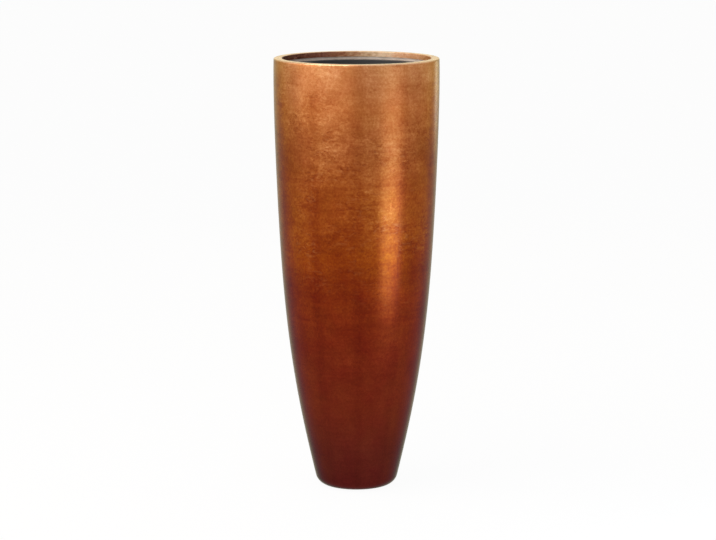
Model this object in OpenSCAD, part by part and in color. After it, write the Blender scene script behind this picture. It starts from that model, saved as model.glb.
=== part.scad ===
// Tall round planter: a laminated shell with a folded rim, a seat ring inside it and a lift-out liner.
// The ground is at Z = 0 and the planter stands on the Z axis.

/* [Shell outline] */
// Height from the ground to the top of the rim
overall_h = 900; // [600:10:1200]
// Outside diameter at the rim
dia_rim = 342; // [320:1:380]
// How far the wall stands in from the rim at 80 percent of the height
in_80 = 2.5; // [1:0.5:8]
// How far the wall stands in from the rim at 60 percent of the height
in_60 = 10.5; // [6:0.5:16]
// How far the wall stands in from the rim at 40 percent of the height
in_40 = 24.5; // [18:0.5:34]
// How far the wall stands in from the rim at 20 percent of the height
in_20 = 50.5; // [40:0.5:60]
// How far the wall stands in from the rim at the ground, before the foot is rounded
in_foot = 90; // [75:0.5:100]
// Radius that rounds the wall into the foot
foot_round = 26; // [10:1:32]

/* [Shell wall] */
// Thickness of the laminated wall
wall_t = 4.5; // [3:0.5:8]
// Thickness of the laminated floor
floor_t = 6; // [4:0.5:12]
// Radius of the hollow under the foot
hollow_r = 36; // [30:1:45]
// Depth of the hollow under the foot
hollow_h = 6; // [5:0.5:12]

/* [Rim] */
// Width of the flat rim, from the outside of the wall to the mouth
lip_w = 17.5; // [12:0.5:30]
// Thickness of the rim's flat top
lip_t = 6; // [4:0.5:12]
// Depth of the return that hangs down inside the mouth
return_h = 11; // [8:0.5:25]
// Thickness of the return
return_t = 4; // [2:0.5:6]
// Rounding of the rim's outer edge
edge_round = 3; // [1:0.5:4]
// Rounding of the rim's inner edge
mouth_round = 1.5; // [0.5:0.5:3]

/* [Seat ring] */
// Height of the pale band that shows between the return and the liner
band_h = 5.5; // [2:0.5:15]
// How far the band stands back from the mouth
band_setback = 1; // [0.5:0.5:2.5]
// Width of the ledge that carries the liner, measured from the mouth
ledge_w = 10; // [6:0.5:16]
// Thickness of the ledge at its inner edge
ledge_t = 4; // [2:0.5:8]
// Height of the sloping underside that ties the ledge to the wall
gusset_h = 14; // [6:1:22]
// Width of the bond line between the ring and the wall
bond_gap = 0.3; // [0.1:0.1:0.8]

/* [Liner] */
// Depth of the liner below its flange
liner_depth = 280; // [150:5:320]
// Outside diameter of the liner at its base
liner_base_d = 246; // [200:2:256]
// Thickness of the liner's wall and floor
liner_t = 3; // [2:0.5:5]
// Thickness of the liner's flange
flange_t = 3; // [2:0.5:5]
// Clearance between the liner's flange and the mouth
flange_gap = 2; // [1:0.5:4]
// Clearance between the liner's body and the ledge
ledge_gap = 1.5; // [1:0.5:4]
// Radius that rounds the liner's base
liner_round = 16; // [6:1:24]
// Height of the ring that the liner's base stands on
foot_ring_h = 8; // [6:1:15]
// Number of stiffening ribs under the liner's floor
rib_count = 8; // [4:1:12]
// Thickness of each rib
rib_t = 3; // [2:0.5:5]
// Height of each rib
rib_h = 5; // [2:0.5:6]
// Width of each of the two hand-holds
hold_w = 92; // [60:2:110]
// Height of each hand-hold
hold_h = 24; // [18:1:35]
// Distance from the flange down to the top of a hand-hold
hold_drop = 26; // [20:1:40]

/* [Bung and plug] */
// Diameter of the drain hole in the liner and in the shell
drain_d = 24; // [16:1:30]
// Clearance round a stopper in its hole
stopper_gap = 0.05; // [0.02:0.01:0.1]
// How far a stopper's head overlaps the floor around its hole
head_lap = 6; // [4:0.5:8]
// Thickness of a stopper's head
head_t = 3; // [2:0.5:4]
// How far a stopper's stem stands past the floor that it closes
stem_extra = 3; // [2:0.5:4]
// Height of the grip on the liner's bung
grip_h = 14; // [10:1:25]
// Diameter of the grip's flared top
grip_d = 20; // [14:1:26]

/* [Foot pads] */
// Diameter of a pad
pad_d = 17; // [10:1:20]
// Thickness of a pad
pad_h = 2; // [1:0.5:4]

/* [Hidden] */
$fn = 128;
wall_steps = 40;
arc_steps = 8;
edge_bevel = 1;
pad_count = 4;

// Heights, worked up from the ground
foot_z = pad_h;
shell_h = overall_h - foot_z;
hollow_z = foot_z + hollow_h;
floor_z = hollow_z + floor_t;
lip_z = overall_h - lip_t;
return_z = overall_h - return_h;
ledge_z = return_z - band_h - flange_t;
ledge_low_z = ledge_z - ledge_t;
liner_z = ledge_z - liner_depth;
liner_floor_z = liner_z + foot_ring_h + liner_t;
hold_z = ledge_z - hold_drop - hold_h / 2;

// The wall stands in from the rim by one smooth curve through the stated distances
stations = [0, 0.2, 0.4, 0.6, 0.8, 1];
wall_in = [in_foot, in_20, in_40, in_60, in_80, 0];
function product(v, i = 0) = i == len(v) ? 1 : v[i] * product(v, i + 1);
function total(v, i = 0) = i == len(v) ? 0 : v[i] + total(v, i + 1);
function share(u, i) =
    product([for (j = [0:len(stations) - 1]) if (j != i) (u - stations[j]) / (stations[i] - stations[j])]);
function wall_r(z) = let (u = (z - foot_z) / shell_h)
    rim_r - total([for (i = [0:len(stations) - 1]) wall_in[i] * share(u, i)]);
// The angle by which the wall leans out from upright at a height
function lean(z) = atan((wall_r(z + 1) - wall_r(z - 1)) / 2);

// Radii that the rim, the seat and the liner share
rim_r = dia_rim / 2;
mouth_r = rim_r - lip_w;
band_r = mouth_r + band_setback;
ledge_r = mouth_r - ledge_w;
flange_r = mouth_r - flange_gap;
liner_top_r = ledge_r - ledge_gap;
liner_base_r = liner_base_d / 2;
drain_r = drain_d / 2;
head_r = drain_r + head_lap;
stem_r = drain_r - stopper_gap;

// An arc as [radius, height] points, from one angle to another
function arc(centre, r, from, to) =
    [for (i = [0:arc_steps]) let (a = from + (to - from) * i / arc_steps) centre + r * [cos(a), sin(a)]];
// The arc that rounds a floor at height z into the wall, where the wall stands in by inset
function foot_arc(z, round, inset) =
    let (a = lean(z + round * 0.75),
         top_z = z + round * (1 - sin(a)),
         centre = [wall_r(top_z) - inset - round * cos(a), z + round])
    arc(centre, round, -90, -a);
// The wall's own points above a height, where it stands in by inset
function wall_points(low_z, high_z, inset, steps = wall_steps) =
    [for (i = [1:steps]) let (z = low_z + (high_z - low_z) * i / steps) [wall_r(z) - inset, z]];
function reversed(v) = [for (i = [len(v) - 1:-1:0]) v[i]];
function last(v) = v[len(v) - 1];

module turned(outline) rotate_extrude() polygon(outline);

foot_curve = foot_arc(foot_z, foot_round, 0);
inner_curve = foot_arc(floor_z, foot_round - wall_t, wall_t);
foot_flat_r = foot_curve[0][0];
pad_ring_r = (hollow_r + foot_flat_r) / 2;

// The moulded body: wall, rounded foot, floor and the hollow under it
module outer_shell() {
    color("#B5642F")
    turned(concat(
        [[drain_r, hollow_z], [hollow_r - hollow_h, hollow_z], [hollow_r, foot_z]],
        foot_curve,
        wall_points(last(foot_curve)[1], lip_z, 0),
        reversed(wall_points(last(inner_curve)[1], lip_z, wall_t)),
        reversed(inner_curve),
        [[drain_r, floor_z]]));
}

// The folded rim: flat top, rounded edges and the return inside the mouth
module rim_ring() {
    color("#C88A55")
    turned(concat(
        [[mouth_r, return_z], [mouth_r + return_t, return_z], [mouth_r + return_t, lip_z],
         [wall_r(lip_z), lip_z]],
        arc([rim_r - edge_round, overall_h - edge_round], edge_round, 0, 90),
        arc([mouth_r + mouth_round, overall_h - mouth_round], mouth_round, 90, 180)));
}

// The pale ring bonded inside the wall, with the ledge that the liner hangs on
module support_ring() {
    out = wall_t + bond_gap;
    low_z = ledge_low_z - gusset_h;
    color("#CFC6B8")
    turned(concat(
        [[band_r, return_z], [band_r, ledge_z], [ledge_r, ledge_z], [ledge_r, ledge_low_z],
         [wall_r(low_z) - out, low_z]],
        wall_points(low_z, return_z, out, 4)));
}

// A round-ended slot through the liner's wall, for the fingers of one hand
module hand_hold() {
    for (y = [-1, 1] * (hold_w - hold_h) / 2)
        translate([0, y, hold_z]) rotate([0, 90, 0]) cylinder(d = hold_h, h = liner_top_r + liner_t);
    translate([0, (hold_h - hold_w) / 2, hold_z - hold_h / 2])
        cube([liner_top_r + liner_t, hold_w - hold_h, hold_h]);
}

// The planting pot: flange, tapered wall, rounded base, foot ring, ribs and drain hole
module liner() {
    base_z = liner_floor_z - liner_t;
    taper = atan((liner_top_r - liner_base_r) / liner_depth);
    function side_r(z) = liner_base_r + (z - liner_z) * tan(taper);
    function corner(z, round, inset) =
        let (top_z = z + round * (1 - sin(taper)))
        arc([side_r(top_z) - inset - round * cos(taper), z + round], round, -90, -taper);
    outside = corner(base_z, liner_round, 0);
    inside = corner(liner_floor_z, liner_round - liner_t, liner_t);
    ring_r = outside[0][0];
    color("#26262A") {
        difference() {
            turned(concat(
                [[drain_r, base_z], [ring_r - liner_t, base_z], [ring_r - liner_t, liner_z],
                 [ring_r, liner_z]],
                outside,
                [[liner_top_r, ledge_z], [flange_r, ledge_z],
                 [flange_r, ledge_z + flange_t - edge_bevel],
                 [flange_r - edge_bevel, ledge_z + flange_t],
                 [liner_top_r - liner_t + edge_bevel, ledge_z + flange_t],
                 [liner_top_r - liner_t, ledge_z + flange_t - edge_bevel]],
                reversed(inside),
                [[drain_r, liner_floor_z]]));
            for (turn = [0, 180]) rotate(turn) hand_hold();
        }
        for (i = [0:rib_count - 1]) rotate((i + 0.5) * 360 / rib_count)
            translate([head_r, -rib_t / 2, base_z - rib_h])
                cube([ring_r - liner_t / 2 - head_r, rib_t, rib_h + liner_t / 2]);
    }
}

// A stopper's head and stem, with the face that seals at Z = 0 and the stem downwards
function stopper(floor_depth) =
    let (tip = -floor_depth - stem_extra)
    [[0, tip], [stem_r - edge_bevel, tip], [stem_r, tip + edge_bevel], [stem_r, 0], [head_r, 0],
     [head_r, head_t - edge_bevel], [head_r - edge_bevel, head_t]];

// The liner's bung, pulled up by its flared grip
module liner_bung() {
    neck_r = grip_d / 4;
    color("#2E2E30")
    translate([0, 0, liner_floor_z])
        turned(concat(stopper(liner_t),
            [[neck_r, head_t], [neck_r, head_t + grip_h / 2], [grip_d / 2, head_t + grip_h - edge_bevel],
             [grip_d / 2 - edge_bevel, head_t + grip_h], [0, head_t + grip_h]]));
}

// The plug that closes the shell's floor from below
module drain_plug() {
    color("#3A3634")
    translate([0, 0, hollow_z]) mirror([0, 0, 1])
        turned(concat(stopper(floor_t), [[0, head_t]]));
}

module foot_pad(i) {
    color("#2B2B2B")
    rotate((i - 0.5) * 360 / pad_count) translate([pad_ring_r, 0, 0]) cylinder(d = pad_d, h = pad_h);
}

outer_shell();
rim_ring();
support_ring();
liner();
liner_bung();
drain_plug();
foot_pad(1);  // foot_pad_1
foot_pad(2);  // foot_pad_2
foot_pad(3);  // foot_pad_3
foot_pad(4);  // foot_pad_4
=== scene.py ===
"""A tall round floor planter: metal leaf under tinted lacquer, a folded rim and a lift-out black liner.

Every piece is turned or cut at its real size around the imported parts. Sizes are in millimetres, and the
floor, lamps and camera are in metres.
"""
import math

import bmesh
import bpy
from mathutils import Matrix, Vector


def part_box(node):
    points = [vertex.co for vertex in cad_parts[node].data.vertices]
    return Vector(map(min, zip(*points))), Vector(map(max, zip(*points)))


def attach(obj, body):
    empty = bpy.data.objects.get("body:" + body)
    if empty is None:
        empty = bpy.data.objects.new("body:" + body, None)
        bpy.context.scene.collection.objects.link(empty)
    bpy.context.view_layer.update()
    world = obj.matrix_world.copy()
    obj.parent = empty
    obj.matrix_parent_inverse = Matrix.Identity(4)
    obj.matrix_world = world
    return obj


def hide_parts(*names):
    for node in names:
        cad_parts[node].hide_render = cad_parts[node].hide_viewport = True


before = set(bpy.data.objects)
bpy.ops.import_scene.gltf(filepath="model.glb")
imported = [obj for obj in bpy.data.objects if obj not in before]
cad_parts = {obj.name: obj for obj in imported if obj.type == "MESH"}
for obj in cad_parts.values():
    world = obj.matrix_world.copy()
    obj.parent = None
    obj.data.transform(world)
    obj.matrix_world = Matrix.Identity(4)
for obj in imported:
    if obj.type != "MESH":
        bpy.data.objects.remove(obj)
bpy.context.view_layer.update()        # the imported planter's parts, each placed in world space
scene = bpy.context.scene

MM = 0.001
ROUND_STEPS = 192        # facets round a large turned piece
SMALL_STEPS = 72         # facets round a small turned piece
HOLD_STEPS = 48          # facets round a hand-hold
ARC_STEPS = 7            # facets in one rounded corner
SAME_POINT = 0.005       # points of a turned mesh this close are one
SAME_CUT_POINT = 0.003   # points of a cut mesh this close are one

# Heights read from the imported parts
shell_low, shell_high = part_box("outer_shell")
rim_low, rim_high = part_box("rim_ring")
liner_low, liner_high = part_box("liner")
foot_z = shell_low.z / MM
lip_z = shell_high.z / MM
top_z = rim_high.z / MM
return_z = rim_low.z / MM
liner_z = liner_low.z / MM
flange_top = liner_high.z / MM

# The shell
RIM_R = 171
WALL_IN = (90, 50.5, 24.5, 10.5, 2.5, 0)     # from the rim inwards, at even steps from the ground up
WALL_T = 4.5
FLOOR_T = 6
FOOT_ROUND = 26
HOLLOW_R = 36            # the hollow under the foot
HOLLOW_H = 6
DRAIN_R = 12
WALL_ROWS = 56           # rows of facets up the wall

# The rim and the seat ring
LIP_W = 17.5
EDGE_ROUND = 3           # the lip's outer edge
MOUTH_ROUND = 1.5        # the lip's inner edge
RETURN_T = 4
MOUTH_R = RIM_R - LIP_W
BAND_R = MOUTH_R + 1     # the pale band under the return
LEDGE_R = MOUTH_R - 10   # the ledge that the liner hangs on
LEDGE_T = 4
LEDGE_FILLET = 1
LEDGE_EDGE = 0.8
GUSSET_H = 14            # the slope below the ledge
GUSSET_ROWS = 4          # rows of facets where the seat ring is bonded to the wall
BOND_GAP = 0.3

# The liner
FLANGE_T = 3
FLANGE_R = MOUTH_R - 2
LINER_T = 3
LINER_TOP_R = LEDGE_R - 1.5
LINER_BASE_R = 123
LINER_ROUND = 16
FOOT_RING_H = 8
RIB_COUNT = 8
RIB_T = 3
RIB_H = 5
HOLD_W = 92
HOLD_H = 24
HOLD_DROP = 26           # from the ledge down to the hand-hold
HOLE_EDGE = 0.5
FLANGE_FILLET = 0.5
MOULDED_EDGE = 0.8
FLANGE_EDGES = (1, 1.2)  # the flange's outer and inner edge

# The stoppers and pads
HEAD_R = DRAIN_R + 6
HEAD_T = 3
HEAD_EDGES = (0.4, 1)    # the head's sealing edge and its free edge
STEM_R = DRAIN_R - 0.05
STEM_EXTRA = 3           # how far a stem stands out past its floor
STEM_EDGE = 1
GRIP_R = 10
GRIP_H = 14
GRIP_RIM = 1
GRIP_EDGE = 0.6
NECK_R = 5
NECK_FILLETS = (1.5, 3)
PAD_EDGES = (0.6, 0.3)   # below and above

ledge_z = flange_top - FLANGE_T
hollow_z = foot_z + HOLLOW_H
floor_z = hollow_z + FLOOR_T
base_z = liner_z + FOOT_RING_H
liner_floor_z = base_z + LINER_T


# Outlines

def wall_r(z):
    """The shell's outer radius at a height, on one smooth curve through the stated distances."""
    last = len(WALL_IN) - 1
    u = (z - foot_z) / (top_z - foot_z) * last
    inward = 0
    for i, distance in enumerate(WALL_IN):
        share = 1
        for j in range(last + 1):
            if j != i:
                share *= (u - j) / (i - j)
        inward += distance * share
    return RIM_R - inward


def lean(z):
    """The angle by which the wall leans out from upright."""
    return math.atan(wall_r(z + 0.5) - wall_r(z - 0.5))


def arc(centre, radius, start, end, steps=ARC_STEPS):
    """Points (radius, height) along an arc, from one angle to another."""
    turns = (start + (end - start) * i / steps for i in range(steps + 1))
    return [(centre[0] + radius * math.cos(a), centre[1] + radius * math.sin(a)) for a in turns]


def foot_arc(z, radius, inset):
    """The arc that rounds a floor into the wall, where the wall stands in by inset."""
    tilt = lean(z + radius * 0.75)      # about where the arc meets the wall
    top = z + radius * (1 - math.sin(tilt))
    centre = (wall_r(top) - inset - radius * math.cos(tilt), z + radius)
    return arc(centre, radius, -math.pi / 2, -tilt, 3 * ARC_STEPS)


def wall_points(low, high, inset, rows=WALL_ROWS):
    """Points (radius, height) up the wall, inset from its outer face."""
    heights = (low + (high - low) * i / rows for i in range(1, rows + 1))
    return [(wall_r(z) - inset, z) for z in heights]


def rounded(corners):
    """An outline of (radius, height, rounding) corners, each worked out as its arc."""
    outline = []
    for i, (x, z, radius) in enumerate(corners):
        if not radius:
            outline.append((x, z))
            continue
        here = Vector((x, z))
        back = (Vector(corners[i - 1][:2]) - here).normalized()
        ahead = (Vector(corners[(i + 1) % len(corners)][:2]) - here).normalized()
        half = back.angle(ahead) / 2
        centre = here + (back + ahead).normalized() * radius / math.sin(half)
        start = here + back * radius / math.tan(half) - centre
        end = here + ahead * radius / math.tan(half) - centre
        turn = start.angle_signed(end)
        first = math.atan2(start.y, start.x)
        outline += arc(centre, radius, first, first - turn)
    return outline


# Meshes

def turned(outline, steps=ROUND_STEPS, closed=True):
    """A mesh turned round the Z axis from an outline of (radius, height) points in millimetres."""
    bm = bmesh.new()
    ring = [bm.verts.new((r * MM, 0, z * MM)) for r, z in outline]
    ahead = ring[1:] + ring[:1] if closed else ring[1:]
    for a, b in zip(ring, ahead):
        bm.edges.new((a, b))
    bmesh.ops.spin(bm, geom=bm.verts[:] + bm.edges[:], cent=(0, 0, 0), axis=(0, 0, 1),
                   angle=2 * math.pi, steps=steps, use_merge=True)
    bmesh.ops.remove_doubles(bm, verts=bm.verts, dist=SAME_POINT * MM)
    bmesh.ops.recalc_face_normals(bm, faces=bm.faces)
    return bm


def bar(low, high, turn=0):
    """A box between two corners in millimetres, turned about the Z axis."""
    bm = bmesh.new()
    middle = (Vector(low) + Vector(high)) / 2 * MM
    size = (Vector(high) - Vector(low)) * MM
    place = Matrix.Rotation(turn, 4, "Z") @ Matrix.Translation(middle) @ Matrix.Diagonal((*size, 1))
    bmesh.ops.create_cube(bm, size=1, matrix=place)
    return bm


def slot_cutter(width, height, z, length, turn):
    """A round-ended bar along X from the axis outwards, as wide and high as a hand-hold."""
    bm = bmesh.new()
    bmesh.ops.create_circle(bm, cap_ends=True, segments=HOLD_STEPS, radius=height / 2 * MM)
    for v in bm.verts:
        off_centre = abs(v.co.y) > 1e-7
        v.co.y += math.copysign((width - height) / 2 * MM, v.co.y) if off_centre else 0
    upright = Matrix.Translation((0, 0, z * MM)) @ Matrix.Rotation(math.pi / 2, 4, "Y")
    bmesh.ops.transform(bm, matrix=upright, verts=bm.verts)
    face = bmesh.ops.extrude_face_region(bm, geom=bm.faces[:])
    ends = [v for v in face["geom"] if isinstance(v, bmesh.types.BMVert)]
    bmesh.ops.translate(bm, vec=(length * MM, 0, 0), verts=ends)
    bmesh.ops.rotate(bm, cent=(0, 0, 0), matrix=Matrix.Rotation(turn, 3, "Z"), verts=bm.verts)
    bmesh.ops.recalc_face_normals(bm, faces=bm.faces)
    return bm


def combined(bm, tool, operation):
    """The mesh joined to a tool's shape, or cut by it."""
    parts = []
    for source in (bm, tool):
        mesh = bpy.data.meshes.new("working")
        source.to_mesh(mesh)
        source.free()
        parts.append(bpy.data.objects.new("working", mesh))
        scene.collection.objects.link(parts[-1])
    step = parts[0].modifiers.new("combined", "BOOLEAN")
    step.operation, step.object, step.solver = operation, parts[1], "EXACT"
    bpy.context.view_layer.update()
    result = bmesh.new()
    result.from_object(parts[0], bpy.context.evaluated_depsgraph_get())
    for part in parts:
        mesh = part.data
        bpy.data.objects.remove(part)
        bpy.data.meshes.remove(mesh)
    bmesh.ops.remove_doubles(result, verts=result.verts, dist=SAME_CUT_POINT * MM)
    bmesh.ops.dissolve_degenerate(result, edges=result.edges, dist=SAME_CUT_POINT * MM)
    return result


def piece(name, bm, body, stands_for, materials, sharp=35, inner=None):
    """Puts a finished mesh in the scene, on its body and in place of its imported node.

    Edges that turn by more than sharp degrees are drawn sharp. Faces that inner() picks take the second
    material.
    """
    if inner:
        for face in bm.faces:
            face.material_index = 1 if inner(face.calc_center_median() / MM) else 0
    mesh = bpy.data.meshes.new(name)
    bm.to_mesh(mesh)
    bm.free()
    mesh.shade_smooth()
    mesh.set_sharp_from_angle(angle=math.radians(sharp))
    obj = bpy.data.objects.new(name, mesh)
    scene.collection.objects.link(obj)
    for finish in materials:
        mesh.materials.append(finish)
    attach(obj, body)
    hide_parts(stands_for)


# Materials

def srgb(code):
    """A linear colour from an sRGB hex value."""
    parts = (int(code[i:i + 2], 16) / 255 for i in (0, 2, 4))
    return (*(c / 12.92 if c <= 0.04045 else ((c + 0.055) / 1.055) ** 2.4 for c in parts), 1)


def add(tree, kind, inputs=None, stops=None, **settings):
    """Adds a node with its settings, its inputs' values or links, and a ramp's stops from low to high."""
    node = tree.nodes.new("ShaderNode" + kind)
    for name, value in settings.items():
        setattr(node, name, value)
    for key, value in (inputs or {}).items():
        if isinstance(value, bpy.types.NodeSocket):
            tree.links.new(value, node.inputs[key])
        else:
            node.inputs[key].default_value = value
    for i, (position, colour) in enumerate(stops or ()):
        element = node.color_ramp.elements[i] if i < 2 else node.color_ramp.elements.new(position)
        element.position, element.color = position, colour
    return node


def material(name):
    """A material, and its empty node tree."""
    made = bpy.data.materials.new(name)
    made.use_nodes = True
    made.node_tree.nodes.clear()
    return made, made.node_tree


def grey(value):
    """A grey of a linear value."""
    return (value, value, value, 1)


# Leaf squares, as laid: eleven columns round the planter, each square about 97 mm
LEAF_COLUMNS = 11
LEAF_H = 97
FIRST_SEAM = math.radians(-1)
STAGGER_SEED = 3850      # how far each column starts above the last
TONE_SEED = 46816        # how light each square is
CREASE_SEED = 51266.5    # how creased each square is

# The lacquer's colours, by the share of the planter's height
LACQUER_TINTS = (
    (0.00, "5C100A"), (0.02, "50100A"), (0.10, "5B1A0D"), (0.20, "6B210B"), (0.34, "6F2007"),
    (0.47, "782704"), (0.56, "883804"), (0.70, "934714"), (0.80, "944D20"), (0.90, "A96130"),
    (1.00, "B87849"))

# The bronze paint's colours inside the lip, from left to right before its blotches shift them: dark on the
# left as painted shade, pale towards the right as painted light
BRONZE_SHADE_TO_LIGHT_TINTS = (
    (0.05, "6A4034"), (0.28, "8E5C4A"), (0.42, "A87454"), (0.53, "C4A07C"), (0.68, "E2C6A6"),
    (0.85, "D29C74"), (1.00, "B07848"))

# The leaf's patterns: waves per metre along X, Y and Z, then detail, roughness and distortion
LEAF_PATTERNS = {
    "wander": ((22, 22, 22), 3, 0.5, 0),         # how far a square's edge strays
    "patches": ((15, 15, 15), 6, 0.68, 0),       # clouds of thicker and thinner lacquer
    "strokes": ((12, 12, 130), 2, 0.6, 0),       # polishing strokes round the planter
    "grain": ((210, 210, 210), 3, 0.7, 0),       # fine grain; real leaf's is finer
    "veins": ((120, 120, 60), 2, 0.5, 1.5),      # thin cracks in the leaf
    "folds": ((48, 48, 95), 4, 0.65, 1.6),       # creases pressed flat
    "spread": ((16, 16, 16), 2, 0.5, 0),         # where in a square the creases lie
    "hue": ((28, 28, 28), 2, 0.5, 0),            # drift of the lacquer's tint
    "dashes": ((50, 50, 135), 2, 0.5, 1.5),      # bare metal on the creases
}


def leaf_patterns(tree, place):
    """The value of each of the leaf's patterns, by name."""
    value = {}
    for name, (scale, detail, roughness, distortion) in LEAF_PATTERNS.items():
        laid = add(tree, "Mapping", {"Vector": place, "Scale": scale})
        drawn = add(tree, "TexNoise", {"Vector": laid.outputs[0], "Scale": 1, "Detail": detail,
                                       "Roughness": roughness, "Distortion": distortion})
        value[name] = drawn.outputs["Fac"]
    return value


def inside_lip(tree, axes):
    """1 on the faces inside the lip, and 0 elsewhere."""
    across = add(tree, "CombineXYZ", {"X": axes.outputs["X"], "Y": axes.outputs["Y"]})
    radius = add(tree, "VectorMath", {0: across.outputs[0]}, operation="LENGTH")
    near_mouth = add(tree, "MapRange", {"Value": radius.outputs["Value"], "From Min": (MOUTH_R + 1.5) * MM,
                                        "From Max": (MOUTH_R + 0.5) * MM})
    rim_only = add(tree, "Math", {0: axes.outputs["Z"], 1: (return_z - 1) * MM}, operation="GREATER_THAN")
    inside = add(tree, "Math", {0: near_mouth.outputs[0], 1: rim_only.outputs[0]}, operation="MULTIPLY")
    return inside.outputs[0]


def lacquer_colour(tree, axes, height, inside, folds):
    """The colour before the leaf's patterns show in it: lacquer, and bronze paint inside the lip, painted
    dark on its left as painted shade and pale on its right as painted light.
    """
    lacquer = add(tree, "ValToRGB", {"Fac": height}, stops=[(at, srgb(tint)) for at, tint in LACQUER_TINTS])

    # The lacquer is polished thin over the lip, and the lip's top is also painted paler as a painted
    # highlight
    lip_wear_and_highlight = add(tree, "MapRange", {"Value": axes.outputs["Z"], "From Min": (top_z - EDGE_ROUND) * MM,
                                    "From Max": (top_z - 1) * MM})
    lacquer = add(tree, "Mix", {0: lip_wear_and_highlight.outputs[0], 6: lacquer.outputs["Color"], 7: srgb("DDB08A")},
                  data_type="RGBA")

    # The paint is dark on the left as painted shade and pale towards the right as painted light, in blotches
    paint = add(tree, "MapRange", {"Value": axes.outputs["X"], "From Min": -MOUTH_R * MM,
                                   "From Max": MOUTH_R * MM, "To Min": -0.3, "To Max": 0.7})
    paint = add(tree, "Math", {0: folds, 1: 0.6, 2: paint.outputs[0]}, operation="MULTIPLY_ADD")
    paint = add(tree, "ValToRGB", {"Fac": paint.outputs[0]},
                stops=[(at, srgb(tint)) for at, tint in BRONZE_SHADE_TO_LIGHT_TINTS])
    colour = add(tree, "Mix", {0: inside, 6: lacquer.outputs[2], 7: paint.outputs["Color"]}, data_type="RGBA")
    return colour.outputs[2]


def leaf_squares(tree, axes, wander):
    """The tone and creasing of the square that a point lies on, and how much of a lap and a joint it is."""
    front = add(tree, "Math", {0: axes.outputs["Y"], 1: -1}, operation="MULTIPLY")
    turn = add(tree, "Math", {0: axes.outputs["X"], 1: front.outputs[0]}, operation="ARCTAN2")
    shift = add(tree, "MapRange", {"Value": wander, "To Min": -0.05, "To Max": 0.05})
    columns = add(tree, "Math", {0: turn.outputs[0], 1: LEAF_COLUMNS / (2 * math.pi),
                                 2: -FIRST_SEAM * LEAF_COLUMNS / (2 * math.pi)}, operation="MULTIPLY_ADD")
    columns = add(tree, "Math", {0: columns.outputs[0], 1: shift.outputs[0]})
    column = add(tree, "Math", {0: columns.outputs[0]}, operation="FLOOR")
    column = add(tree, "Math", {0: column.outputs[0], 1: LEAF_COLUMNS, 2: 0}, operation="WRAP")
    seeded = add(tree, "Math", {0: column.outputs[0], 1: STAGGER_SEED})
    stagger = add(tree, "TexWhiteNoise", {"W": seeded.outputs[0]}, noise_dimensions="1D")
    stagger = add(tree, "MapRange", {"Value": stagger.outputs["Value"], "To Min": 0.12, "To Max": 0.36})
    rows = add(tree, "Math", {0: axes.outputs["Z"], 1: 1 / (LEAF_H * MM), 2: stagger.outputs[0]},
               operation="MULTIPLY_ADD")
    rows = add(tree, "Math", {0: rows.outputs[0], 1: shift.outputs[0]})
    row = add(tree, "Math", {0: rows.outputs[0]}, operation="FLOOR")
    of_square = []
    for seed in (TONE_SEED, CREASE_SEED):
        square = add(tree, "CombineXYZ", {"X": column.outputs[0], "Y": row.outputs[0], "Z": seed})
        chance = add(tree, "TexWhiteNoise", {"Vector": square.outputs[0]}, noise_dimensions="3D")
        of_square.append(chance.outputs["Value"])

    past_seam = add(tree, "Math", {0: columns.outputs[0]}, operation="FRACT")
    past_joint = add(tree, "Math", {0: rows.outputs[0]}, operation="FRACT")
    lap = add(tree, "ValToRGB", {"Fac": past_seam.outputs[0]}, stops=(
        (0.0, grey(0.9)), (0.12, grey(1)), (0.24, grey(0)), (0.86, grey(0)), (1.0, grey(0.9))))
    joint = add(tree, "ValToRGB", {"Fac": past_joint.outputs[0]}, stops=(
        (0.0, grey(0.8)), (0.03, grey(0.6)), (0.07, grey(0)), (0.96, grey(0)), (1.0, grey(0.8))))
    return (*of_square, lap.outputs["Color"], joint.outputs["Color"])


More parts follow.
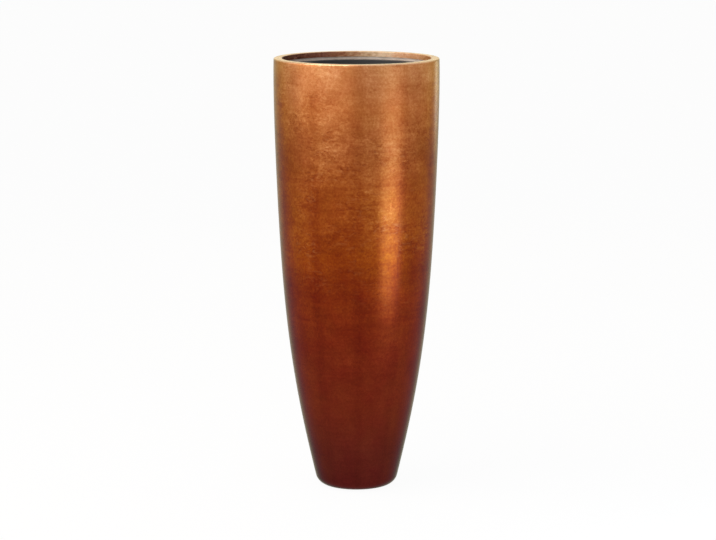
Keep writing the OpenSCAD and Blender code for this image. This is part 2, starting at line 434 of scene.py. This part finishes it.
def lacquered_leaf():
    """Metal leaf under tinted lacquer. The leaf is laid by hand in squares that overlap and crease, and the
    lacquer is sprayed from clear amber at the rim to mahogany at the foot and polished. It gives a soft metal
    glow in the body, patchy tone from square to square, and a clear gloss at the edges."""
    made, tree = material("Metal leaf under tinted lacquer")
    place = add(tree, "TexCoord").outputs["Object"]
    axes = add(tree, "SeparateXYZ", {"Vector": place})
    height = add(tree, "MapRange", {"Value": axes.outputs["Z"], "From Min": 0, "From Max": top_z * MM})
    height = height.outputs["Result"]
    pattern = leaf_patterns(tree, place)
    inside = inside_lip(tree, axes)
    lacquer = lacquer_colour(tree, axes, height, inside, pattern["folds"])
    tone, creased, lap, joint = leaf_squares(tree, axes, pattern["wander"])

    # Cloudy patches, grain, strokes and dark veins lie all over; folds and pale dashes where a square creased
    veins = add(tree, "ValToRGB", {"Fac": pattern["veins"]}, stops=(
        (0.47, grey(0)), (0.5, grey(1)), (0.53, grey(0))))
    spread = add(tree, "MapRange", {"Value": pattern["spread"], "From Min": 0.35, "From Max": 0.65})
    polished = add(tree, "MapRange", {"Value": height, "From Min": 0.42, "From Max": 0.58})
    crease = add(tree, "Math", {0: creased, 1: 0.75, 2: 0.25}, operation="MULTIPLY_ADD")
    crease = add(tree, "Math", {0: crease.outputs[0], 1: spread.outputs[0]}, operation="MULTIPLY")
    crease = add(tree, "Math", {0: crease.outputs[0], 1: polished.outputs[0]}, operation="MULTIPLY")
    fold = add(tree, "Math", {0: pattern["folds"], 1: 0.5}, operation="SUBTRACT")
    fold = add(tree, "Math", {0: fold.outputs[0], 1: crease.outputs[0], 2: 0.5}, operation="MULTIPLY_ADD")

    parts = (                       # value, its middle, how strongly it lightens or darkens
        (tone, 0.5, 0.12),
        (pattern["patches"], 0.5, 1.25),
        (pattern["strokes"], 0.5, 0.35),
        (pattern["grain"], 0.5, 0.95),
        (fold.outputs[0], 0.5, 1.9),
        (veins.outputs["Color"], 0, -0.07),
        (lap, 0, -0.14),
        (joint, 0, -0.08),
    )
    total = 0.0
    for value, middle, weight in parts:
        centred = add(tree, "Math", {0: value, 1: middle}, operation="SUBTRACT")
        summed = add(tree, "Math", {0: centred.outputs[0], 1: weight, 2: total}, operation="MULTIPLY_ADD")
        total = summed.outputs[0]

    # How much of that shows: most above the middle, less where the lacquer is dark
    shown = add(tree, "MapRange", {"Value": height, "From Min": 0.15, "From Max": 0.62,
                                   "To Min": 0.36, "To Max": 1.05})
    change = add(tree, "Math", {0: total, 1: shown.outputs[0]}, operation="MULTIPLY")

    # A lighter place is also a paler one, because the lacquer lies thinner there
    value = add(tree, "Math", {0: change.outputs[0], 1: 0.25, 2: 1.0}, operation="MULTIPLY_ADD")
    depth = add(tree, "Math", {0: change.outputs[0], 1: -0.55, 2: 1.0}, operation="MULTIPLY_ADD")
    colour = add(tree, "Gamma", {"Color": lacquer, "Gamma": depth.outputs[0]})
    hue = add(tree, "MapRange", {"Value": pattern["hue"], "From Min": 0.3, "From Max": 0.7,
                                 "To Min": 0.498, "To Max": 0.502})
    colour = add(tree, "HueSaturation", {"Hue": hue.outputs[0], "Value": value.outputs[0],
                                         "Color": colour.outputs[0]})
    dashes = add(tree, "MapRange", {"Value": pattern["dashes"], "From Min": 0.52, "From Max": 0.72})
    dashes = add(tree, "Math", {0: dashes.outputs[0], 1: crease.outputs[0]}, operation="MULTIPLY")
    dashes = add(tree, "Math", {0: dashes.outputs[0], 1: 0.2}, operation="MULTIPLY")
    colour = add(tree, "Mix", {0: dashes.outputs[0], 6: colour.outputs["Color"], 7: srgb("D9965C")},
                 data_type="RGBA")

    # The paint inside the lip is rougher and less of a metal
    rough = add(tree, "MapRange", {"Value": pattern["folds"], "From Min": 0.3, "From Max": 0.7,
                                   "To Min": 0.26, "To Max": 0.36})
    rough = add(tree, "Math", {0: inside, 1: 0.2, 2: rough.outputs[0]}, operation="MULTIPLY_ADD")
    metal = add(tree, "MapRange", {"Value": inside, "To Min": 0.95, "To Max": 0.3})
    relief = add(tree, "Math", {0: pattern["patches"], 1: 0.7, 2: fold.outputs[0]}, operation="MULTIPLY_ADD")
    bump = add(tree, "Bump", {"Strength": 0.5, "Distance": 0.0005, "Height": relief.outputs[0]})
    shader = add(tree, "BsdfPrincipled", {
        "Base Color": colour.outputs[2], "Metallic": metal.outputs[0], "Roughness": rough.outputs[0],
        "Normal": bump.outputs[0], "Specular IOR Level": 0, "Specular Tint": srgb("A6AE80"),
        "Coat Weight": 0.5, "Coat Roughness": 0.25, "Coat IOR": 1.2})
    add(tree, "OutputMaterial", {"Surface": shader.outputs[0]})
    return made


def laminate_topcoat():
    """Polyester topcoat, brushed over glass-fibre laminate. It gives an off-white satin with faint brush
    strokes and blots."""
    made, tree = material("Brushed polyester topcoat")
    place = add(tree, "TexCoord").outputs["Object"]
    strokes_place = add(tree, "Mapping", {"Vector": place, "Scale": (30, 30, 600)})
    strokes = add(tree, "TexNoise", {"Vector": strokes_place.outputs[0], "Scale": 1, "Detail": 3})
    blots = add(tree, "TexNoise", {"Vector": place, "Scale": 60, "Detail": 4})
    both = add(tree, "Math", {0: strokes.outputs["Fac"], 1: blots.outputs["Fac"]})
    mix = add(tree, "MapRange", {"Value": both.outputs[0], "From Min": 0.7, "From Max": 1.3})
    colour = add(tree, "ValToRGB", {"Fac": mix.outputs[0]},
                 stops=((0, srgb("B5A79A")), (0.55, srgb("CBBFB5")), (1, srgb("DCD3CA"))))
    bump = add(tree, "Bump", {"Strength": 0.3, "Distance": 0.0004, "Height": strokes.outputs["Fac"]})
    shader = add(tree, "BsdfPrincipled", {"Base Color": colour.outputs["Color"], "Roughness": 0.45,
                                          "Normal": bump.outputs[0]})
    add(tree, "OutputMaterial", {"Surface": shader.outputs[0]})
    return made


def strand_mat():
    """Glass-fibre laminate from chopped strand mat, rolled by hand and left bare. It gives short pale strands
    crossing in a grey-green resin, a little rough and a little glossy."""
    made, tree = material("Chopped strand laminate")
    place = add(tree, "TexCoord").outputs["Object"]
    total = 0.0
    for lie in ((0, 0, 0.3), (0, 0.1, 1.1), (0.1, 0, 1.9), (0, -0.1, 2.6), (0, 1.2, 0.4), (0, -0.8, 2.2)):
        laid = add(tree, "Mapping", {"Vector": place, "Rotation": lie, "Scale": (0.022, 0.002, 0.002)},
                   vector_type="TEXTURE")
        strand = add(tree, "TexNoise", {"Vector": laid.outputs[0], "Scale": 1, "Detail": 1})
        bundle = add(tree, "MapRange", {"Value": strand.outputs["Fac"], "From Min": 0.57, "From Max": 0.70})
        joined = add(tree, "Math", {0: bundle.outputs[0], 1: total}, operation="MAXIMUM")
        total = joined.outputs[0]
    cloud = add(tree, "TexNoise", {"Vector": place, "Scale": 40, "Detail": 6, "Roughness": 0.7})
    resin = add(tree, "ValToRGB", {"Fac": cloud.outputs["Fac"]},
                stops=((0.3, srgb("7E7A69")), (0.75, srgb("A39E8A"))))
    colour = add(tree, "Mix", {0: total, 6: resin.outputs["Color"], 7: srgb("C6C3B2")}, data_type="RGBA")
    bump = add(tree, "Bump", {"Strength": 0.5, "Distance": 0.0003, "Height": total})
    shader = add(tree, "BsdfPrincipled", {"Base Color": colour.outputs[2], "Roughness": 0.4,
                                          "Normal": bump.outputs[0]})
    add(tree, "OutputMaterial", {"Surface": shader.outputs[0]})
    return made


def moulded_polypropylene():
    """Black polypropylene, injection moulded in a spark-eroded tool. It gives a soft satin black with fine
    grain and a few pale scuffs."""
    made, tree = material("Moulded black polypropylene")
    place = add(tree, "TexCoord").outputs["Object"]
    grain = add(tree, "TexNoise", {"Vector": place, "Scale": 700, "Detail": 2})
    scuffs_place = add(tree, "Mapping", {"Vector": place, "Scale": (25, 25, 210)})
    scuffs = add(tree, "TexNoise", {"Vector": scuffs_place.outputs[0], "Scale": 1, "Detail": 6,
                                    "Roughness": 0.7})
    worn = add(tree, "MapRange", {"Value": scuffs.outputs["Fac"], "From Min": 0.55, "From Max": 0.8})
    colour = add(tree, "Mix", {0: worn.outputs[0], 6: srgb("171719"), 7: srgb("2E2E31")}, data_type="RGBA")
    rough = add(tree, "MapRange", {"Value": scuffs.outputs["Fac"], "To Min": 0.42, "To Max": 0.58})
    bump = add(tree, "Bump", {"Strength": 0.25, "Distance": 0.0001, "Height": grain.outputs["Fac"]})
    shader = add(tree, "BsdfPrincipled", {"Base Color": colour.outputs[2], "Roughness": rough.outputs[0],
                                          "Normal": bump.outputs[0], "IOR": 1.49})
    add(tree, "OutputMaterial", {"Surface": shader.outputs[0]})
    return made


def moulded_rubber():
    """Black EPDM rubber, compression moulded. It gives a matt dark grey with a dusty bloom."""
    made, tree = material("Moulded rubber")
    place = add(tree, "TexCoord").outputs["Object"]
    bloom = add(tree, "TexNoise", {"Vector": place, "Scale": 120, "Detail": 5, "Roughness": 0.65})
    colour = add(tree, "ValToRGB", {"Fac": bloom.outputs["Fac"]},
                 stops=((0.35, srgb("1E1D1D")), (0.75, srgb("34312F"))))
    bump = add(tree, "Bump", {"Strength": 0.3, "Distance": 0.0002, "Height": bloom.outputs["Fac"]})
    shader = add(tree, "BsdfPrincipled", {"Base Color": colour.outputs["Color"], "Roughness": 0.75,
                                          "Normal": bump.outputs[0]})
    add(tree, "OutputMaterial", {"Surface": shader.outputs[0]})
    return made


def seen_directly(tree):
    """1 for rays from the camera, and for those that metal, lacquer or glass send on."""
    path = add(tree, "LightPath")
    seen = add(tree, "Math", {0: path.outputs["Is Camera Ray"], 1: path.outputs["Is Glossy Ray"]},
               operation="MAXIMUM")
    seen = add(tree, "Math", {0: seen.outputs[0], 1: path.outputs["Is Transmission Ray"]},
               operation="MAXIMUM")
    return seen.outputs[0]


def studio_floor():
    """White painted floor. It shows as white and keeps a soft shadow; from below it is clear."""
    made, tree = material("White painted floor")
    paint = add(tree, "BsdfDiffuse", {"Color": srgb("F4F3F1")})
    glow = add(tree, "Emission", {"Color": srgb("FFFFFF"), "Strength": 1})
    share = add(tree, "Math", {0: seen_directly(tree), 1: FLOOR_GLOW}, operation="MULTIPLY")
    top = add(tree, "MixShader", {0: share.outputs[0], 1: paint.outputs[0], 2: glow.outputs[0]})
    clear = add(tree, "BsdfTransparent")
    under = add(tree, "NewGeometry").outputs["Backfacing"]
    both = add(tree, "MixShader", {0: under, 1: top.outputs[0], 2: clear.outputs[0]})
    add(tree, "OutputMaterial", {"Surface": both.outputs[0]})
    return made


LEAF = lacquered_leaf()
TOPCOAT = laminate_topcoat()
LAMINATE = strand_mat()
LINER_PLASTIC = moulded_polypropylene()
RUBBER = moulded_rubber()


# Pieces

def outer_shell():
    """The moulded body: wall, rounded foot, and a thick floor over the hollow under the foot."""
    outside = foot_arc(foot_z, FOOT_ROUND, 0)
    inside = foot_arc(floor_z, FOOT_ROUND - WALL_T, WALL_T)
    flat_r, round_top = outside[0][0], outside[-1][1]
    outline = [(DRAIN_R, hollow_z), (HOLLOW_R - HOLLOW_H, hollow_z), (HOLLOW_R, foot_z)]
    outline += outside + wall_points(round_top, lip_z, 0)
    outline += wall_points(inside[-1][1], lip_z, WALL_T)[::-1] + inside[::-1] + [(DRAIN_R, floor_z)]

    def bare(point):
        """True for the faces that the lacquer doesn't reach: inside, and under the foot."""
        radius = wall_r(point.z)
        if point.z < round_top:
            radius = flat_r + math.sqrt(max(0, FOOT_ROUND ** 2 - (FOOT_ROUND + foot_z - point.z) ** 2))
        return point.xy.length < radius - WALL_T / 2

    piece("leafed_shell", turned(outline), "planter", "outer_shell",
          (LEAF, LAMINATE), inner=bare)


def rim_ring():
    """The folded lip: its flat top, and the return that goes down inside the mouth."""
    corner = arc((RIM_R - EDGE_ROUND, top_z - EDGE_ROUND), EDGE_ROUND, 0, math.pi / 2)
    mouth = arc((MOUTH_R + MOUTH_ROUND, top_z - MOUTH_ROUND), MOUTH_ROUND, math.pi / 2, math.pi)
    outline = [(MOUTH_R, return_z), (MOUTH_R + RETURN_T, return_z), (MOUTH_R + RETURN_T, lip_z),
               (wall_r(lip_z), lip_z)] + corner + mouth
    piece("leafed_rim", turned(outline), "planter", "rim_ring", (LEAF,))


def support_ring():
    """The pale band bonded inside the wall, with the ledge that the liner hangs on."""
    out = WALL_T + BOND_GAP
    low = ledge_z - LEDGE_T - GUSSET_H
    fillet = (BAND_R - LEDGE_FILLET, ledge_z + LEDGE_FILLET)
    outline = [(BAND_R, return_z)] + arc(fillet, LEDGE_FILLET, 0, -math.pi / 2)
    outline += rounded([(LEDGE_R, ledge_z, LEDGE_EDGE), (LEDGE_R, ledge_z - LEDGE_T, LEDGE_EDGE),
                        (wall_r(low) - out, low, 0)])
    outline += wall_points(low, return_z, out, GUSSET_ROWS)
    piece("coated_seat_ring", turned(outline), "planter", "support_ring", (TOPCOAT,))


def liner():
    """The planting pot: flange, tapered side, two hand-holds, rounded base, foot ring and ribs."""
    slope = (LINER_TOP_R - LINER_BASE_R) / (ledge_z - liner_z)

    def side_r(z):
        """The tapered side's outer radius at a height."""
        return LINER_BASE_R + (z - liner_z) * slope

    tilt = math.atan(slope)
    reach = LINER_ROUND * math.tan((math.pi / 2 - tilt) / 2)
    ring_r = side_r(base_z) - reach
    ring_in = ring_r - LINER_T
    wall_in = LINER_T / math.cos(tilt)
    bm = turned(rounded([
        (DRAIN_R, base_z, HOLE_EDGE),
        (ring_in, base_z, MOULDED_EDGE), (ring_in, liner_z, MOULDED_EDGE),
        (ring_r, liner_z, MOULDED_EDGE), (ring_r, base_z, 0),
        (side_r(base_z), base_z, LINER_ROUND), (LINER_TOP_R, ledge_z, FLANGE_FILLET),
        (FLANGE_R, ledge_z, MOULDED_EDGE), (FLANGE_R, flange_top, FLANGE_EDGES[0]),
        (LINER_TOP_R - LINER_T, flange_top, FLANGE_EDGES[1]),
        (side_r(liner_floor_z) - wall_in, liner_floor_z, LINER_ROUND - LINER_T),
        (DRAIN_R, liner_floor_z, HOLE_EDGE)]))
    rib_low = (HEAD_R, -RIB_T / 2, base_z - RIB_H)
    rib_high = (ring_r - LINER_T / 2, RIB_T / 2, base_z + LINER_T / 2)
    for i in range(RIB_COUNT):
        rib = bar(rib_low, rib_high, (i + 0.5) * 2 * math.pi / RIB_COUNT)
        bm = combined(bm, rib, "UNION")
    hold_z = ledge_z - HOLD_DROP - HOLD_H / 2
    for turn in (0, math.pi):
        hold = slot_cutter(HOLD_W, HOLD_H, hold_z, LINER_TOP_R + LINER_T, turn)
        bm = combined(bm, hold, "DIFFERENCE")
    piece("moulded_liner", bm, "liner", "liner", (LINER_PLASTIC,), sharp=30)


def stopper(floor_depth):
    """A stopper's stem and head as corners, with the face that seals at height 0."""
    tip = -floor_depth - STEM_EXTRA
    return [(0, tip, 0), (STEM_R, tip, STEM_EDGE), (STEM_R, 0, 0),
            (HEAD_R, 0, HEAD_EDGES[0]), (HEAD_R, HEAD_T, HEAD_EDGES[1])]


def liner_bung():
    """The stopper in the liner's floor, with a grip to pull it by."""
    grip_top = HEAD_T + GRIP_H
    grip = [(NECK_R, HEAD_T, NECK_FILLETS[0]), (NECK_R, HEAD_T + GRIP_H / 2, NECK_FILLETS[1]),
            (GRIP_R, grip_top - GRIP_RIM, GRIP_EDGE), (GRIP_R, grip_top, GRIP_EDGE), (0, grip_top, 0)]
    bm = turned(rounded(stopper(LINER_T) + grip), SMALL_STEPS, closed=False)
    bmesh.ops.translate(bm, vec=(0, 0, liner_floor_z * MM), verts=bm.verts)
    piece("rubber_bung", bm, "liner_bung", "liner_bung", (RUBBER,))


def drain_plug():
    """The stopper in the shell's floor, pushed in from below."""
    bm = turned(rounded(stopper(FLOOR_T) + [(0, HEAD_T, 0)]), SMALL_STEPS, closed=False)
    bmesh.ops.scale(bm, vec=(1, 1, -1), verts=bm.verts)
    bmesh.ops.translate(bm, vec=(0, 0, hollow_z * MM), verts=bm.verts)
    bmesh.ops.recalc_face_normals(bm, faces=bm.faces)
    piece("rubber_plug", bm, "drain_plug", "drain_plug", (RUBBER,))


def foot_pad(number):
    """One of the rubber pads under the foot."""
    node = f"foot_pad_{number}"
    low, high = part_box(node)
    radius, height = (high.x - low.x) / 2 / MM, (high.z - low.z) / MM
    outline = rounded([(0, 0, 0), (radius, 0, PAD_EDGES[0]), (radius, height, PAD_EDGES[1]), (0, height, 0)])
    bm = turned(outline, SMALL_STEPS, closed=False)
    middle = (low + high) / 2
    bmesh.ops.translate(bm, vec=(middle.x, middle.y, low.z), verts=bm.verts)
    piece(f"rubber_pad_{number}", bm, "planter", node, (RUBBER,))


outer_shell()
rim_ring()
support_ring()
liner()
liner_bung()
drain_plug()
for pad in range(1, 5):
    foot_pad(pad)


# Studio

FLOOR_SIZE = 60
FLOOR_GLOW = 0.95        # the share of the floor that shows as plain white; the rest takes shadow
AMBIENT = 0.55           # how strongly the white room lights the planter

# The photograph's view
CAMERA_PLACE = (0.003, -5.6, 1.3822)
CAMERA_DOWN = 0.16379    # radians below level
LENS = 136.82            # mm, on a sensor 36 mm wide

# The long highlight comes from strips in one column
STRIP = (0.957, -0.803)
STRIP_W = 0.68

# Each soft light's place, aim, width, height, power and colour
LIGHTS = {
    "key_left": ((-1.7, -1.7, 1.3), (0, 0, 0.5), 4.6, 2.0, 20, "FFFFFF"),
    "strip_low": ((*STRIP, 0.16), (0, 0, 0.16), STRIP_W, 0.18, 2.8, "B4ECFF"),
    "strip_middle": ((*STRIP, 0.33), (0, 0, 0.33), STRIP_W, 0.16, 2.2, "A4C8FF"),
    "strip_high": ((*STRIP, 0.51), (0, 0, 0.51), STRIP_W, 0.20, 0.6, "E0F0FF"),
    "strip_top": ((*STRIP, 0.71), (0, 0, 0.71), STRIP_W, 0.20, 0.25, "F0F8FF"),
    "edge_right": ((1.54, 1.97, 0.62), (0, 0, 0.7), 0.40, 0.35, 2.0, "D0F0FF"),
    "overhead": ((-0.95, -0.65, 2.7), (0, 0, 0.9), 2.0, 1.0, 34, "FFF0E2"),
    "top_back": ((0, 3.6, 1.65), (0, 0, 0.9), 2.4, 0.5, 8, "FFE0C0"),
    "key_high": ((-2.1, -0.4, 1.32), (0, 0, 0.9), 2.2, 0.5, 6, "FFF0E0"),
}


def floor():
    """The plane that the planter stands on."""
    bm = bmesh.new()
    bmesh.ops.create_grid(bm, x_segments=1, y_segments=1, size=FLOOR_SIZE / 2)
    mesh = bpy.data.meshes.new("studio_floor")
    bm.to_mesh(mesh)
    bm.free()
    obj = bpy.data.objects.new("studio_floor", mesh)
    mesh.materials.append(studio_floor())
    scene.collection.objects.link(obj)


def room():
    """A white room: it shows as white, and lights the planter at a plain level."""
    world = bpy.data.worlds.new("White room")
    world.use_nodes = True
    world.node_tree.nodes.clear()
    tree = world.node_tree
    strength = add(tree, "Mix", {0: seen_directly(tree), 2: AMBIENT, 3: 1.0}, data_type="FLOAT")
    back = add(tree, "Background", {"Color": srgb("FFFFFF"), "Strength": strength.outputs[0]})
    add(tree, "OutputWorld", {"Surface": back.outputs[0]})
    scene.world = world


def soft_box(name, place, aim, width, height, power, colour):
    """A rectangular soft light at a place, facing a point."""
    light = bpy.data.lights.new(name, "AREA")
    light.shape, light.size, light.size_y = "RECTANGLE", width, height
    light.energy, light.color = power, srgb(colour)[:3]
    obj = bpy.data.objects.new(name, light)
    obj.location = place
    obj.rotation_euler = (Vector(aim) - Vector(place)).to_track_quat("-Z", "Y").to_euler()
    scene.collection.objects.link(obj)


def camera():
    """The photograph's view: a long lens 5.6 m away, looking down a little."""
    data = bpy.data.cameras.new("photo_view")
    data.sensor_width, data.lens, data.clip_end = 36, LENS, 200
    obj = bpy.data.objects.new("photo_view", data)
    obj.location = CAMERA_PLACE
    obj.rotation_euler = (math.pi / 2 - CAMERA_DOWN, 0, 0)
    scene.collection.objects.link(obj)
    scene.camera = obj


floor()
room()
for name, light in LIGHTS.items():
    soft_box(name, *light)
camera()
scene.view_settings.view_transform = "Standard"
